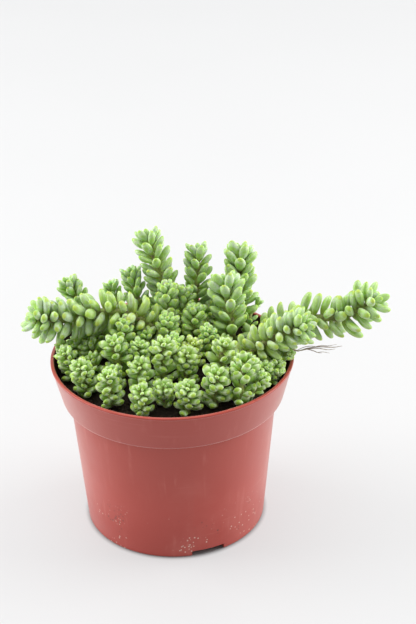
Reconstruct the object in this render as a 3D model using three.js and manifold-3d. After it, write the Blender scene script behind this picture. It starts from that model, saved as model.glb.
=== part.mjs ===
// A potted burro's tail plant: a round plastic nursery pot, the soil in it, and the leafy stems that fill it.
// Millimetres, +Z up, the front of the pot towards -Y. The origin is the middle of the pot's underside.
import * as THREE from "three";
import { mergeVertices } from "three/addons/utils/BufferGeometryUtils.js";
import Module from "manifold-3d";

const wasm = await Module();
wasm.setup();

// ---- Driving dimensions ------------------------------------------------------------------------------

const POT = {
  height: 90,
  rimRadius: 60,
  lipWidth: 2, // the flat bead round the mouth
  lipHeight: 1.3,
  lipEdge: 0.4, // how much its edges are rounded
  collarTopRadius: 59.6, // outside, just under the lip
  collarFootRadius: 54.9, // outside, where the collar starts
  ledgeHeight: 69.8, // the step between body and collar
  bodyTopRadius: 51.4,
  baseRadius: 45,
  wall: 1.2,
  footWidth: 3.5, // the ring that the pot stands on
  channelHeight: 3.4, // the raised drainage channel inside that ring
  channelInnerRadius: 31.5,
  slope: 1.2, // how far the channel's side walls lean
  sides: 36,
};
const NOTCH = { count: 3, first: -70, width: 17, height: 3.2 }; // drainage notches in the foot ring, degrees
const DRAIN = { count: 6, radius: 3, ring: 36.6, sides: 8 }; // round holes in the channel's roof
const SOIL = { edge: 81, crown: 5, gap: 0.35, holeDepth: 7, holeGap: 0.5, sides: 24 };
const STALK = { radius: 1.3, sides: 4, into: 3.5 }; // a stem's foot, and how far it reaches above the soil
// A core's radius at its start, as a share of the stalk's, and at its tip, as a share of its full radius; how
// much of its length each of those takes; and its longest straight stretch.
const CORE = { start: 1.2, tip: 0.45, stretch: 0.2, segment: 9 };

// How leaves sit: each is turned from the last by the golden angle, and they are crowded, upright and smaller
// at the tip. Those three counts say over how many leaves from the tip each of these wears off.
const LEAF = {
  fullest: 0.72, // where along its length a leaf is widest
  gap: 0.3, // clear space to other stems, the pot and the soil
  golden: 137.508,
  sunk: 0.5, // how far out of the core a root starts, as a share of the core's radius
  back: 0.9,
  crowded: 2.5,
  upright: 2.4,
  small: 3,
  least: 0.75, // the tip leaf's share of full size
  uneven: 0.05, // how much sizes differ, as a share, and turns, in degrees
  waver: 7,
};

// Long stems: points of the route from just above the soil to the tip, the leaves' length and width, how far
// apart they sit along the stem, how steeply they stand off it in degrees, the core's radius, and how much of
// its foot is bare.
const LONG_STEMS = [
  {
    name: "trailing_stem_left",
    route: [[-4, 15, 87], [-6, 14, 95], [-12, 13, 103], [-20, 12, 109], [-30, 12, 111], [-41, 11, 109],
      [-52, 8, 107], [-62, 6, 109], [-69, 4, 111]],
    leaf: [10, 5.8], spacing: 2.5, lean: 74, core: 2.9, bare: 7, green: 0x9cbf74,
  },
  {
    name: "trailing_stem_right",
    route: [[44, 15, 85], [47, 14, 91], [54, 12, 97], [64, 10, 103], [73, 8, 104], [83, 6, 105], [90, 4, 109],
      [97, 3, 115], [102, 2, 118]],
    leaf: [10.4, 5.8], spacing: 2.5, lean: 64, core: 2.8, bare: 5, green: 0x8fbb78,
  },
  {
    name: "trailing_stem_front",
    route: [[33, -5, 86], [36, -6, 91], [41, -8, 96], [48, -9, 101], [55, -10, 105], [63, -11, 109]],
    leaf: [9.2, 5.8], spacing: 2.3, lean: 68, core: 2.9, bare: 4, green: 0x97bf72,
  },
  {
    name: "tall_stem_left",
    route: [[0, 33, 86], [-1, 34, 102], [-3, 34, 111], [-5, 35, 120], [-7, 36, 130], [-9, 36, 139]],
    leaf: [9.2, 5.2], spacing: 2.4, lean: 48, core: 2.4, bare: 12, green: 0x86b47a,
  },
  {
    name: "tall_stem_middle",
    route: [[13, 35, 86], [13, 36, 104], [14, 38, 114], [14, 39, 123], [13, 39, 131]],
    leaf: [7.8, 4.8], spacing: 2.5, lean: 46, core: 2.1, bare: 12, green: 0x7fb07c,
  },
  {
    name: "tall_stem_back",
    route: [[34, 35, 85], [36, 37, 99], [36, 40, 110], [35, 41, 120], [34, 41, 129]],
    leaf: [9.6, 5.6], spacing: 2.4, lean: 46, core: 2.5, bare: 8, green: 0x83b37a,
  },
  {
    name: "tall_stem_front",
    route: [[30, 13, 87], [30, 14, 95], [29, 16, 105], [28, 18, 116], [27, 19, 124]],
    leaf: [10, 6], spacing: 2.2, lean: 54, core: 2.9, bare: 6, green: 0x84b478,
  },
];

// Short stems and compact heads: the middle of the rosette on top, and how wide it is.
const HEADS = [
  { name: "short_stem_left", top: [-51, 28, 116], foot: [-43, 24], width: 14 },
  { name: "short_stem_left_back", top: [-30, 38, 109], foot: [-28, 34], width: 11 },
  { name: "short_stem_back", top: [-20, 36, 117], foot: [-16, 33], width: 12.5 },
  { name: "short_stem_right_back", top: [44, 37, 98], foot: [41, 30], width: 9 },
  { name: "head_01", top: [-51, -9, 98], width: 11 },
  { name: "head_02", top: [-45, -26, 100], width: 13 },
  { name: "head_03", top: [-41, -8, 94], width: 9 },
  { name: "head_04", top: [-29, -11, 104], width: 16 },
  { name: "head_05", top: [-31, -37, 101], width: 15 },
  { name: "head_06", top: [-16, -10, 102], width: 11 },
  { name: "head_07", top: [-16, -30, 102], width: 13 },
  { name: "head_08", top: [-15, -47, 98], width: 12 },
  { name: "head_09", top: [-4, -41, 96], width: 10 },
  { name: "head_10", top: [-4, -22, 109], width: 16 },
  { name: "head_11", top: [10, -8, 101], width: 11 },
  { name: "head_12", top: [7, -24, 104], width: 12 },
  { name: "head_13", top: [7, -46, 99], width: 13 },
  { name: "head_14", top: [20, -41, 102], width: 16 },
  { name: "head_15", top: [25, -19, 106], width: 16 },
  { name: "head_16", top: [35, -31, 105], width: 16 },
  { name: "head_17", top: [45, -23, 95], width: 11 },
  { name: "head_18", top: [-2, 23, 117], width: 13 },
  { name: "head_19", top: [7, 26, 113], width: 11 },
  { name: "head_20", top: [-2, 5, 110], width: 12 },
  { name: "head_21", top: [12, 14, 109], width: 12 },
  { name: "head_22", top: [18, 0, 106], width: 10 },
  { name: "head_23", top: [-24, 1, 110], width: 12 },
  { name: "head_24", top: [-13, 2, 103], width: 10 },
  { name: "head_25", top: [1, -7, 104], width: 10 },
  { name: "head_26", top: [23, 31, 110], width: 11 },
  { name: "head_27", top: [-42, 6, 94], width: 11 },
  { name: "head_28", top: [50, -2, 93], width: 10 },
  { name: "head_29", top: [-38, 20, 96], width: 13 },
  { name: "head_30", top: [-20, 22, 97], width: 12 },
  { name: "head_31", top: [-8, 46, 97], width: 12 },
  { name: "head_32", top: [22, 46, 98], width: 12 },
  { name: "head_33", top: [26, 4, 96], width: 9 },
  { name: "head_34", top: [-30, -24, 96], width: 10 },
];
// Leaf length and width and the core's radius are shares of a head's half width. The rest is as on a long
// stem, with the stretch that bears leaves, and how far in and above the soil the core starts.
const HEAD = {
  leafLength: 0.88,
  leafWidth: 0.76,
  core: 0.54,
  spacing: 2.45,
  lean: 66,
  leafy: 18.5,
  rootIn: 0.94,
  rootRise: 1.5,
  green: 0x8ab56f,
};

// A dry, forked rootlet that hangs from the underside of the front trailing stem, past the rim.
const ROOTLET = {
  radius: 0.4,
  sides: 3,
  steps: 4,
  main: [[57, -10, 102.3], [62, -10, 97.5], [71, -10, 96.4], [83, -10, 97.5]],
  fork: [[66, -10, 96.6], [71, -10, 94.6], [76, -10, 93.4]],
};

// ---- Solids ------------------------------------------------------------------------------------------

function solidOf(geometry) {
  const bare = geometry.index ? geometry.toNonIndexed() : geometry.clone();
  bare.deleteAttribute("normal");
  bare.deleteAttribute("uv");
  const merged = mergeVertices(bare, 1e-4);
  const mesh = new wasm.Mesh({
    numProp: 3,
    vertProperties: merged.attributes.position.array,
    triVerts: new Uint32Array(merged.index.array),
  });
  return new wasm.Manifold(mesh);
}

function geometryOf(solid) {
  const mesh = solid.getMesh();
  const places = new Float32Array(mesh.numVert * 3);
  for (let i = 0; i < mesh.numVert; i++) {
    places.set(mesh.vertProperties.subarray(i * mesh.numProp, i * mesh.numProp + 3), i * 3);
  }
  const geometry = new THREE.BufferGeometry();
  geometry.setAttribute("position", new THREE.BufferAttribute(places, 3));
  geometry.setIndex(new THREE.BufferAttribute(mesh.triVerts, 1));
  geometry.computeVertexNormals();
  return geometry;
}

function named(name, solid, color, roughness = 0.7) {
  const material = new THREE.MeshStandardMaterial({ color, roughness, metalness: 0, flatShading: true });
  const mesh = new THREE.Mesh(geometryOf(solid), material);
  mesh.name = name;
  return mesh;
}

// Turns a profile of [radius, height] points round the Z axis.
function turned(profile, sides) {
  const points = profile.map(([radius, height]) => new THREE.Vector2(radius, height));
  return new THREE.LatheGeometry(points, sides).rotateX(Math.PI / 2);
}

// The same draws on every run.
function randomFrom(seed) {
  let state = seed * 7919 + 17;
  return () => {
    state = (state * 16807) % 2147483647;
    return state / 2147483647;
  };
}

const between = (low, high, t) => low + (high - low) * t;

// ---- Pot ---------------------------------------------------------------------------------------------

function potSolid() {
  const p = POT;
  const floor = p.wall + 0.1;
  const channelOuter = p.baseRadius - p.footWidth;
  const underLip = p.height - p.lipHeight;
  const lipInner = p.rimRadius - p.lipWidth;
  const outside = [
    [0, 0],
    [p.channelInnerRadius - p.slope, 0],
    [p.channelInnerRadius, p.channelHeight],
    [channelOuter - p.slope, p.channelHeight],
    [channelOuter, 0],
    [p.baseRadius - 0.5, 0],
    [p.baseRadius, 0.6],
    [p.bodyTopRadius, p.ledgeHeight],
    [p.collarFootRadius - 0.4, p.ledgeHeight],
    [p.collarFootRadius, p.ledgeHeight + 0.6],
    [p.collarTopRadius, underLip],
    [p.rimRadius, underLip + p.lipEdge],
    [p.rimRadius, p.height - p.lipEdge],
    [p.rimRadius - p.lipEdge, p.height],
  ];
  const inside = [
    [lipInner, p.height - p.lipEdge],
    [p.collarTopRadius - p.wall, underLip],
    [p.collarFootRadius - p.wall, p.ledgeHeight + p.wall],
    [p.bodyTopRadius - p.wall, p.ledgeHeight + p.wall],
    [p.baseRadius - p.wall, p.channelHeight + floor],
    [p.channelInnerRadius + floor, p.channelHeight + floor],
    [p.channelInnerRadius - p.slope + floor, floor],
    [0, floor],
  ];
  let solid = solidOf(turned([...outside, ...inside], p.sides));
  for (let i = 0; i < NOTCH.count; i++) {
    const angle = ((NOTCH.first + (i * 360) / NOTCH.count) * Math.PI) / 180;
    const block = new THREE.BoxGeometry(p.footWidth * 3, NOTCH.width, NOTCH.height * 2);
    block.translate(p.baseRadius, 0, 0);
    block.rotateZ(angle);
    solid = solid.subtract(solidOf(block));
  }
  for (let i = 0; i < DRAIN.count; i++) {
    const angle = ((i + 0.5) * 2 * Math.PI) / DRAIN.count;
    const plug = new THREE.CylinderGeometry(DRAIN.radius, DRAIN.radius, 4 * floor, DRAIN.sides);
    plug.rotateX(Math.PI / 2);
    plug.translate(DRAIN.ring * Math.cos(angle), DRAIN.ring * Math.sin(angle), p.channelHeight + floor / 2);
    solid = solid.subtract(solidOf(plug));
  }
  return solid;
}

// The radius of the pot's inside wall at a height above its floor.
function insideRadius(z) {
  const floor = POT.channelHeight + POT.wall + 0.1;
  const ledge = POT.ledgeHeight + POT.wall;
  const lip = POT.height - POT.lipHeight;
  if (z < ledge) {
    return between(POT.baseRadius, POT.bodyTopRadius, (z - floor) / (ledge - floor)) - POT.wall;
  }
  return between(POT.collarFootRadius, POT.collarTopRadius, (z - ledge) / (lip - ledge)) - POT.wall;
}

// ---- Soil --------------------------------------------------------------------------------------------

// The soil's surface rises from its edge to the middle of the root ball.
function soilHeight(x, y) {
  const share = Math.hypot(x, y) / insideRadius(SOIL.edge);
  return SOIL.edge + SOIL.crown * (1 - share * share);
}

function soilSolid(stems) {
  const floor = POT.channelHeight + POT.wall + 0.1 + SOIL.gap;
  const ledge = POT.ledgeHeight + POT.wall + SOIL.gap;
  const profile = [
    [0, POT.wall + 0.1 + SOIL.gap],
    [POT.channelInnerRadius - 0.4, POT.wall + 0.1 + SOIL.gap],
    [POT.channelInnerRadius + 0.8, floor],
    [insideRadius(floor) - SOIL.gap, floor],
    [POT.bodyTopRadius - POT.wall - SOIL.gap, ledge],
    [POT.collarFootRadius - POT.wall - SOIL.gap, ledge],
    [insideRadius(SOIL.edge) - SOIL.gap, SOIL.edge],
  ];
  for (const radius of [46, 32, 16, 0]) profile.push([radius, soilHeight(radius, 0)]);
  let solid = solidOf(turned(profile, SOIL.sides));
  for (const { foot } of stems) {
    const radius = STALK.radius + SOIL.holeGap;
    const hole = new THREE.CylinderGeometry(radius, radius, 2 * SOIL.holeDepth, STALK.sides);
    hole.rotateX(Math.PI / 2);
    hole.rotateZ(Math.PI / STALK.sides);
    hole.translate(foot[0], foot[1], soilHeight(...foot));
    solid = solid.subtract(solidOf(hole));
  }
  return solid;
}

// ---- Leafy stems -------------------------------------------------------------------------------------

// A stem's own axes at a point of its route: along it, and two across it.
function axesAt(curve, t) {
  const along = curve.getTangentAt(t);
  const across = new THREE.Vector3(0, 1, 0).addScaledVector(along, -along.y).normalize();
  const side = new THREE.Vector3().crossVectors(across, along);
  return { along, across, side, point: curve.getPointAt(t) };
}

// The stem's core: a turned rod, bent along the route.
function coreSolid(curve, radiusAt) {
  const length = curve.getLength();
  const steps = Math.ceil(CORE.stretch * length / CORE.segment) / CORE.stretch;
  const profile = [[0, 0]];
  for (let i = 0; i <= steps; i++) {
    profile.push([radiusAt(i / steps), (i / steps) * length]);
  }
  profile.push([0, length]);
  const geometry = turned(profile, STALK.sides);
  const places = geometry.attributes.position;
  for (let i = 0; i < places.count; i++) {
    const axes = axesAt(curve, THREE.MathUtils.clamp(places.getZ(i) / length, 0, 1));
    const { point } = axes;
    point.addScaledVector(axes.side, places.getX(i)).addScaledVector(axes.across, places.getY(i));
    places.setXYZ(i, point.x, point.y, point.z);
  }
  return solidOf(geometry);
}

// The stalk's end, which stands in its hole in the soil.
function footPeg(foot) {
  const top = soilHeight(...foot) + STALK.into;
  const bottom = soilHeight(...foot) - SOIL.holeDepth + SOIL.gap;
  const peg = new THREE.CylinderGeometry(STALK.radius, STALK.radius, top - bottom, STALK.sides);
  peg.rotateX(Math.PI / 2);
  peg.rotateZ(Math.PI / STALK.sides);
  peg.translate(foot[0], foot[1], (top + bottom) / 2);
  return solidOf(peg);
}

// One plump leaf, its root at the origin and its tip up +Z: narrow at the root, fullest past the middle.
function leafShape(length, width) {
  return turned([[0, 0], [width / 2, length * LEAF.fullest], [0, length]], 4);
}

// Spheres that hold a leaf, for the test of what it would touch.
function ballsOf(root, direction, length, width) {
  return [0.3, 0.5, 0.7, 0.88].map((share, i) => ({
    at: root.clone().addScaledVector(direction, length * share),
    radius: width * [0.4, 0.5, 0.5, 0.3][i],
  }));
}

function clearOfPot(ball) {
  if (ball.at.z - ball.radius < soilHeight(ball.at.x, ball.at.y) + LEAF.gap) return false;
  if (ball.at.z - ball.radius > POT.height + LEAF.gap) return true;
  const outward = Math.hypot(ball.at.x, ball.at.y);
  const innerRim = Math.min(insideRadius(ball.at.z - ball.radius), POT.rimRadius - POT.lipWidth);
  return outward + ball.radius < innerRim - LEAF.gap || outward - ball.radius > POT.rimRadius + LEAF.gap;
}

function clearOf(balls, taken, owner) {
  return balls.every((ball) => {
    if (!clearOfPot(ball)) return false;
    return taken.every(
      (other) =>
        other.owner === owner || other.at.distanceTo(ball.at) > other.radius + ball.radius + LEAF.gap,
    );
  });
}

// Places one leaf; where it would cross another stem it is bent up, then shortened, then left out.
function placeLeaf(stem, leaf, taken) {
  const axes = axesAt(stem.curve, leaf.t);
  const outward = axes.side
    .clone()
    .multiplyScalar(Math.cos(leaf.turn))
    .addScaledVector(axes.across, Math.sin(leaf.turn));
  for (const shorter of [1, 0.85, 0.7]) {
    for (const steeper of [1, 0.75, 0.5]) {
      const angle = leaf.lean * steeper;
      const direction = axes.along
        .clone()
        .multiplyScalar(Math.cos(angle))
        .addScaledVector(outward, Math.sin(angle));
      const inner = stem.radiusAt(leaf.t) * LEAF.sunk * Math.sin(angle);
      const root = axes.point.clone().addScaledVector(outward, inner).addScaledVector(axes.along, -LEAF.back);
      const length = leaf.length * shorter;
      const width = leaf.width * Math.sqrt(shorter);
      const balls = ballsOf(root, direction, length, width);
      if (!clearOf(balls, taken, stem.name)) continue;
      balls.forEach((ball) => taken.push({ ...ball, owner: stem.name }));
      const flat = new THREE.Vector3().crossVectors(axes.along, direction).normalize();
      const upper = new THREE.Vector3().crossVectors(direction, flat);
      const frame = new THREE.Matrix4().makeBasis(flat, upper, direction).setPosition(root);
      return solidOf(leafShape(length, width).rotateZ(Math.PI / 4).applyMatrix4(frame));
    }
  }
  return null;
}

// The leaves of a stem, counted from its tip.
function grow(stem, taken, random) {
  const length = stem.curve.getLength();
  const easing = (count, full) => 1 - Math.exp(-count / full);
  const leaves = [];
  for (let i = 0; ; i++) {
    const down = stem.spacing * (i - LEAF.crowded * easing(i, LEAF.crowded));
    if (down > Math.min(stem.leafy, length - 1.5)) break;
    const size = between(LEAF.least, 1, easing(i, LEAF.small)) * (1 + LEAF.uneven * (2 * random() - 1));
    leaves.push(
      placeLeaf(stem, {
        t: 1 - down / length,
        turn: THREE.MathUtils.degToRad(LEAF.golden * i + LEAF.waver * (2 * random() - 1)),
        lean: THREE.MathUtils.degToRad(stem.lean * easing(i + 0.2, LEAF.upright)),
        length: stem.leaf[0] * size,
        width: stem.leaf[1] * between(1, size, 0.6),
      }, taken),
    );
  }
  return leaves.filter(Boolean);
}

function routeThrough(points) {
  return new THREE.CatmullRomCurve3(points.map((p) => new THREE.Vector3(...p)), false, "centripetal");
}

// A core starts a little wider than the stalk, swells until it is full, and narrows over as long a stretch at
// its tip.
function coreRadius(full) {
  return (t) => {
    const swell = between(CORE.start * STALK.radius, full, Math.min(1, t / CORE.stretch));
    return swell * between(1, CORE.tip, Math.max(0, t - 1 + CORE.stretch) / CORE.stretch);
  };
}

function longStem(plan) {
  const curve = routeThrough(plan.route);
  const leafy = curve.getLength() - plan.bare;
  return { ...plan, foot: plan.route[0].slice(0, 2), curve, leafy, radiusAt: coreRadius(plan.core) };
}

function compactHead(plan) {
  const half = plan.width / 2;
  const [x, y, z] = plan.top;
  const foot = plan.foot || [x * HEAD.rootIn, y * HEAD.rootIn];
  const start = [...foot, soilHeight(...foot) + HEAD.rootRise];
  const middle = [between(foot[0], x, 0.25), between(foot[1], y, 0.25), between(start[2], z, 0.5)];
  return {
    name: plan.name,
    foot,
    curve: routeThrough([start, middle, plan.top]),
    leaf: [half * HEAD.leafLength, half * HEAD.leafWidth],
    spacing: HEAD.spacing,
    lean: HEAD.lean,
    leafy: HEAD.leafy,
    radiusAt: coreRadius(half * HEAD.core),
    green: HEAD.green,
  };
}

function rodSolid(points) {
  const section = new THREE.Shape();
  for (let i = 0; i < ROOTLET.sides; i++) {
    const angle = (i * 2 * Math.PI) / ROOTLET.sides;
    const corner = [ROOTLET.radius * Math.cos(angle), ROOTLET.radius * Math.sin(angle)];
    if (i === 0) section.moveTo(...corner);
    else section.lineTo(...corner);
  }
  const options = { steps: ROOTLET.steps, bevelEnabled: false, extrudePath: routeThrough(points) };
  return solidOf(new THREE.ExtrudeGeometry(section, options));
}

// ---- The plant ---------------------------------------------------------------------------------------

// Spheres along a rod, which leaves of other stems keep clear of.
function rodBalls(curve, radiusAt, owner) {
  const steps = Math.ceil(curve.getLength());
  return Array.from({ length: steps + 1 }, (_, i) => {
    return { at: curve.getPointAt(i / steps), radius: radiusAt(i / steps), owner };
  });
}

const stems = [...LONG_STEMS.map(longStem), ...HEADS.map(compactHead)];
const taken = stems.flatMap((stem) => rodBalls(stem.curve, stem.radiusAt, stem.name));
for (const points of [ROOTLET.main, ROOTLET.fork]) {
  taken.push(...rodBalls(routeThrough(points), () => ROOTLET.radius, "dry_rootlet"));
}

const plant = new THREE.Group();
plant.add(named("pot", potSolid(), 0xb85244, 0.5));
plant.add(named("soil", soilSolid(stems), 0x2b211b, 0.95));
stems.forEach((stem, i) => {
  const leaves = grow(stem, taken, randomFrom(i + 1));
  const solid = leaves.reduce((body, leaf) => body.add(leaf), coreSolid(stem.curve, stem.radiusAt));
  plant.add(named(stem.name, solid.add(footPeg(stem.foot)), stem.green));
});
plant.add(named("dry_rootlet", rodSolid(ROOTLET.main).add(rodSolid(ROOTLET.fork)), 0x8a7356, 0.9));

export default plant;
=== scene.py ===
# A potted burro's tail plant: the moulded pot, the soil and every leafy stem, made over the fixed frame.
# Metres, +Z up, the front of the pot towards -Y. Laid out as an add-on and run as a script.
from math import cos, exp, hypot, pi, radians, sin, sqrt

import bmesh
import bpy
import numpy as np
from bpy.props import FloatProperty, FloatVectorProperty, IntProperty, PointerProperty
from mathutils import Matrix, Vector, noise


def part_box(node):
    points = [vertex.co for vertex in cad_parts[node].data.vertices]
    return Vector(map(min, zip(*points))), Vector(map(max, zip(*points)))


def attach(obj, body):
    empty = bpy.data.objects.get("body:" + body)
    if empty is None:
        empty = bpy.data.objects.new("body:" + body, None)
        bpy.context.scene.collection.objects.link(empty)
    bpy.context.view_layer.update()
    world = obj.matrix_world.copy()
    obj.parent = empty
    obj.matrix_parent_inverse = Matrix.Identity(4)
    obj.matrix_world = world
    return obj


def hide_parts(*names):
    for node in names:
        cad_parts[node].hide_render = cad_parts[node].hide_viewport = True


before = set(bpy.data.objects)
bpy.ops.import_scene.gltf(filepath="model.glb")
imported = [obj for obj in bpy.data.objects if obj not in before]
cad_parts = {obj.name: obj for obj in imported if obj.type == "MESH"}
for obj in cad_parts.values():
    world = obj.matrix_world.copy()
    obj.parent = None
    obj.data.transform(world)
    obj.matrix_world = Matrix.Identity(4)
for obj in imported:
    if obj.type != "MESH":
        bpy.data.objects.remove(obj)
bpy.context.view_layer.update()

bl_info = {
    "name": "Potted burro's tail",
    "version": (1, 0, 0),
    "blender": (4, 5, 0),
    "location": "View3D > Sidebar > Potted plant",
    "description": "Makes the pot, the soil and the leafy stems of a potted burro's tail",
    "category": "Add Mesh",
}

POT_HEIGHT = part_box("pot")[1].z
MM = 0.001
GOLDEN_ANGLE = radians(137.508)

# Long stems, in millimetres: a leaf's length and width, how far apart the leaves sit along the stem, how
# steeply they stand off it and how much further the oldest droop, in degrees, the stem's radius, how much of
# its foot is bare, and the route's points from just above the soil to the tip. What a stem doesn't say of
# itself, such as how yellow its oldest leaves are, it has from its kind's habit.
TRAILING_STEMS = [
    dict(name="trailing_stem_left", leaf=(10.5, 5.1), spacing=0.93, lean=82, stem=1.8, bare=7,
         yellow=0.75, bloom=1.2,
         route=[(-4, 15, 86), (-6, 14, 94), (-12, 13, 100.5), (-20, 12, 106), (-30, 12, 108.5), (-41, 11, 108),
                (-52, 8, 106.5), (-61, 6, 108), (-66.5, 4.5, 110)]),
    dict(name="trailing_stem_right", leaf=(11.6, 5.4), spacing=1.24, lean=74, stem=1.8, bare=3,
         yellow=0.3, bloom=0.95,
         route=[(44, 15, 85), (47, 14, 91), (54, 12, 97), (64, 10, 103), (73, 8, 104), (83, 6, 105),
                (90, 4, 109), (95.5, 3, 113.5), (98.8, 2.5, 116)]),
    # The front stem is painted lighter than its habit: painted light on the shaded front.
    dict(name="trailing_stem_front", leaf=(10.0, 4.8), spacing=0.80, lean=80, stem=1.8, bare=2,
         yellow=0.9, bloom=1.3, tones=(1.0, 0.90),
         route=[(33, -5, 86), (36, -6, 91), (41, -8, 96.5), (48, -9, 102), (56, -10, 106.5),
                (64.5, -11, 110.5)]),
]
TALL_STEMS = [
    dict(name="tall_stem_left", leaf=(10.2, 4.7), spacing=1.0, lean=57, droop=16, stem=1.4, bare=5,
         yellow=0.3,
         route=[(0, 33, 86), (-1.5, 34, 102), (-3.5, 34, 111), (-6, 35, 120), (-8.5, 36.5, 127.7),
                (-10.5, 40, 134.2)]),
    dict(name="tall_stem_middle", leaf=(8.8, 4.4), spacing=1.06, lean=57, droop=12, stem=1.3, bare=5,
         route=[(13, 35, 86), (13, 36, 104), (14, 38, 114), (14, 39.5, 120.7), (13.8, 42.5, 125.0)]),
    dict(name="tall_stem_back", leaf=(10.8, 5.6), spacing=1.06, lean=53, droop=14, stem=1.5, bare=4,
         route=[(33, 35, 85), (34.5, 37, 99), (35.5, 40, 110), (35.5, 41.5, 117.7), (35, 44.5, 122.4)]),
    dict(name="tall_stem_front", leaf=(10.8, 5.4), spacing=0.92, lean=57, droop=18, stem=1.8, bare=3,
         route=[(30, 13, 87), (30, 14, 95), (29, 16, 105), (28, 18.5, 112.7), (27, 21.5, 117.2)]),
]
# Short stems and compact heads, in millimetres: the middle of the rosette on top, how wide it is, where it is
# rooted if not under its top, and the middles and widths of side shoots that branch off low down.
SHORT_STEMS = [
    dict(name="short_stem_left", top=(-51, 28, 116), foot=(-43, 24), width=14),
    dict(name="short_stem_left_back", top=(-30, 38, 109), foot=(-28, 34), width=11),
    dict(name="short_stem_back", top=(-20, 36, 117), foot=(-16, 33), width=12.5),
    dict(name="short_stem_right_back", top=(44, 37, 98), foot=(41, 30), width=9),
]


def head(number, top, width, **more):
    return dict(name=f"head_{number:02d}", top=top, width=width, **more)


HEADS = [
    head(1, (-53, -9, 98), 11, side=[(-54.5, 4, 95.5, 8)]),
    head(2, (-45, -26, 100), 11.5),
    head(3, (-41, -8, 94), 9),
    head(4, (-29, -11, 104), 16),
    head(5, (-31, -37, 101), 12.2),
    head(6, (-16, -10, 102), 11),
    head(7, (-16, -30, 102), 13),
    head(8, (-15, -47, 98), 12),
    head(9, (-4, -41, 96), 10),
    # Heads 10, 12 and 15 are painted lighter than their habit: painted light for heads that sit in the others'
    # shade.
    head(10, (-4, -22, 109), 16, yellow=0.10, tones=(1.0, 0.35)),
    head(11, (10, -8, 101), 11, yellow=0.85),
    head(12, (7, -24, 104), 12, yellow=0.15, tones=(1.0, 0.35)),
    head(13, (7, -46, 99), 13),
    head(14, (20.6, -41, 102), 16),
    head(15, (25, -19, 106), 16, yellow=0.15, tones=(1.0, 0.35)),
    head(16, (35, -31, 105), 14.8, foot=(31, -41), side=[(43, -35, 97, 10)]),
    head(17, (45, -23, 95), 11, side=[(51, -16, 94, 9), (51.5, -22.5, 92, 8)]),
    head(27, (-42, 6, 94), 11, side=[(-49, 12, 94, 9)]),
    head(28, (50, -2, 93), 10, side=[(56.5, -10, 95.5, 10), (51, 7, 94, 9)]),
    head(29, (-38, 20, 96), 13, side=[(-46, 17, 94, 8)]),
    head(30, (-20, 22, 97), 12),
    head(31, (-8, 46, 97), 12),
    head(32, (22, 46, 98), 12),
    head(33, (26, 4, 96), 9),
    head(34, (-30, -24, 96), 10),
]
# Heads with plumper leaves.
PLUMP_HEADS = [
    head(18, (-2, 23, 115), 13, yellow=0.36),
    head(19, (7, 26, 111.5), 11, yellow=0.33),
    head(20, (-2, 5, 107), 12, yellow=0.44),
    head(21, (12, 14, 107.2), 12, yellow=0.44),
    head(22, (18, 0, 102.8), 10, yellow=0.40),
    head(23, (-24, 1, 108), 12, yellow=0.38),
    head(24, (-13, 2, 101.5), 10, yellow=0.42),
    head(25, (1, -7, 102.3), 10, yellow=0.46),
    head(26, (23, 31, 110), 11, yellow=0.20),
]
# The dry rootlet's branches: points in millimetres, and the radius at the root of each.
ROOTLET_BRANCHES = [
    (0.32, [(57, -10, 101.5), (58.7, -10, 96.8), (60.9, -10, 95.7), (65.4, -10, 97), (71.8, -10, 97.8),
            (78.5, -10, 97.3), (82.8, -10, 97.9)]),
    (0.23, [(58.3, -10, 97.3), (61.3, -10.3, 96.1), (66.5, -10.3, 96.9), (71.6, -10.3, 97), (75.9, -10.4, 96.2),
            (79.4, -10.5, 96.6)]),
    (0.23, [(64.7, -10, 96.8), (68.2, -10, 95.9), (70.8, -10, 94.6), (72.9, -10, 94.2)]),
    (0.16, [(68.2, -10, 97.4), (72.5, -9.8, 98.4), (75.9, -9.7, 98), (80.2, -9.6, 98.7)]),
    (0.18, [(60.4, -10, 95.8), (63.5, -9.7, 97.4), (67.3, -9.5, 98), (70.8, -9.4, 97.4)]),
    (0.15, [(70.8, -10, 94.6), (73.3, -9.9, 94.8), (76.8, -9.8, 93.9)]),
]


# ---- Settings ----------------------------------------------------------------------------------------

LENGTH = dict(unit="LENGTH", min=0.0006, max=0.3)
COUNT = dict(min=4, max=5000)
COLOUR = dict(subtype="COLOR", size=3, min=0, max=1)
STRENGTH = dict(min=0, max=10)
POWER = dict(unit="POWER", min=0, max=1000)


class PotSettings(bpy.types.PropertyGroup):
    """Sizes and colours of the pot"""

    height: FloatProperty(
        name="Height", description="Height of the pot over the floor", default=POT_HEIGHT, **LENGTH)
    rim_radius: FloatProperty(
        name="Rim radius", description="Outer radius of the bead round the mouth", default=0.060, **LENGTH)
    collar_foot_radius: FloatProperty(
        name="Collar foot radius", description="Outer radius under the collar", default=0.0549, **LENGTH)
    ledge_height: FloatProperty(
        name="Ledge height", description="Height of the step under the collar", default=0.0698, **LENGTH)
    body_radius: FloatProperty(
        name="Body radius", description="Outer radius of the body under the step", default=0.0514, **LENGTH)
    base_radius: FloatProperty(
        name="Base radius", description="Outer radius at the floor", default=0.045, **LENGTH)
    wall: FloatProperty(name="Wall", description="Thickness of the wall", default=0.0012, **LENGTH)
    sides: IntProperty(name="Sides", description="How many faces go round the pot", default=160, **COUNT)
    plastic: FloatVectorProperty(
        name="Plastic", description="Colour of the moulded plastic", default=(0.37, 0.050, 0.034), **COLOUR)
    # Soil on the inner wall together with painted shade in the pot's hollow: the inside is painted near-black.
    soil_and_shade: FloatVectorProperty(
        name="Soiled", description="Colour of soil on the inside", default=(0.020, 0.011, 0.008), **COLOUR)
    scuff: FloatVectorProperty(
        name="Scuff", description="Colour of rubbed and dusty places", default=(0.52, 0.15, 0.12), **COLOUR)


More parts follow.
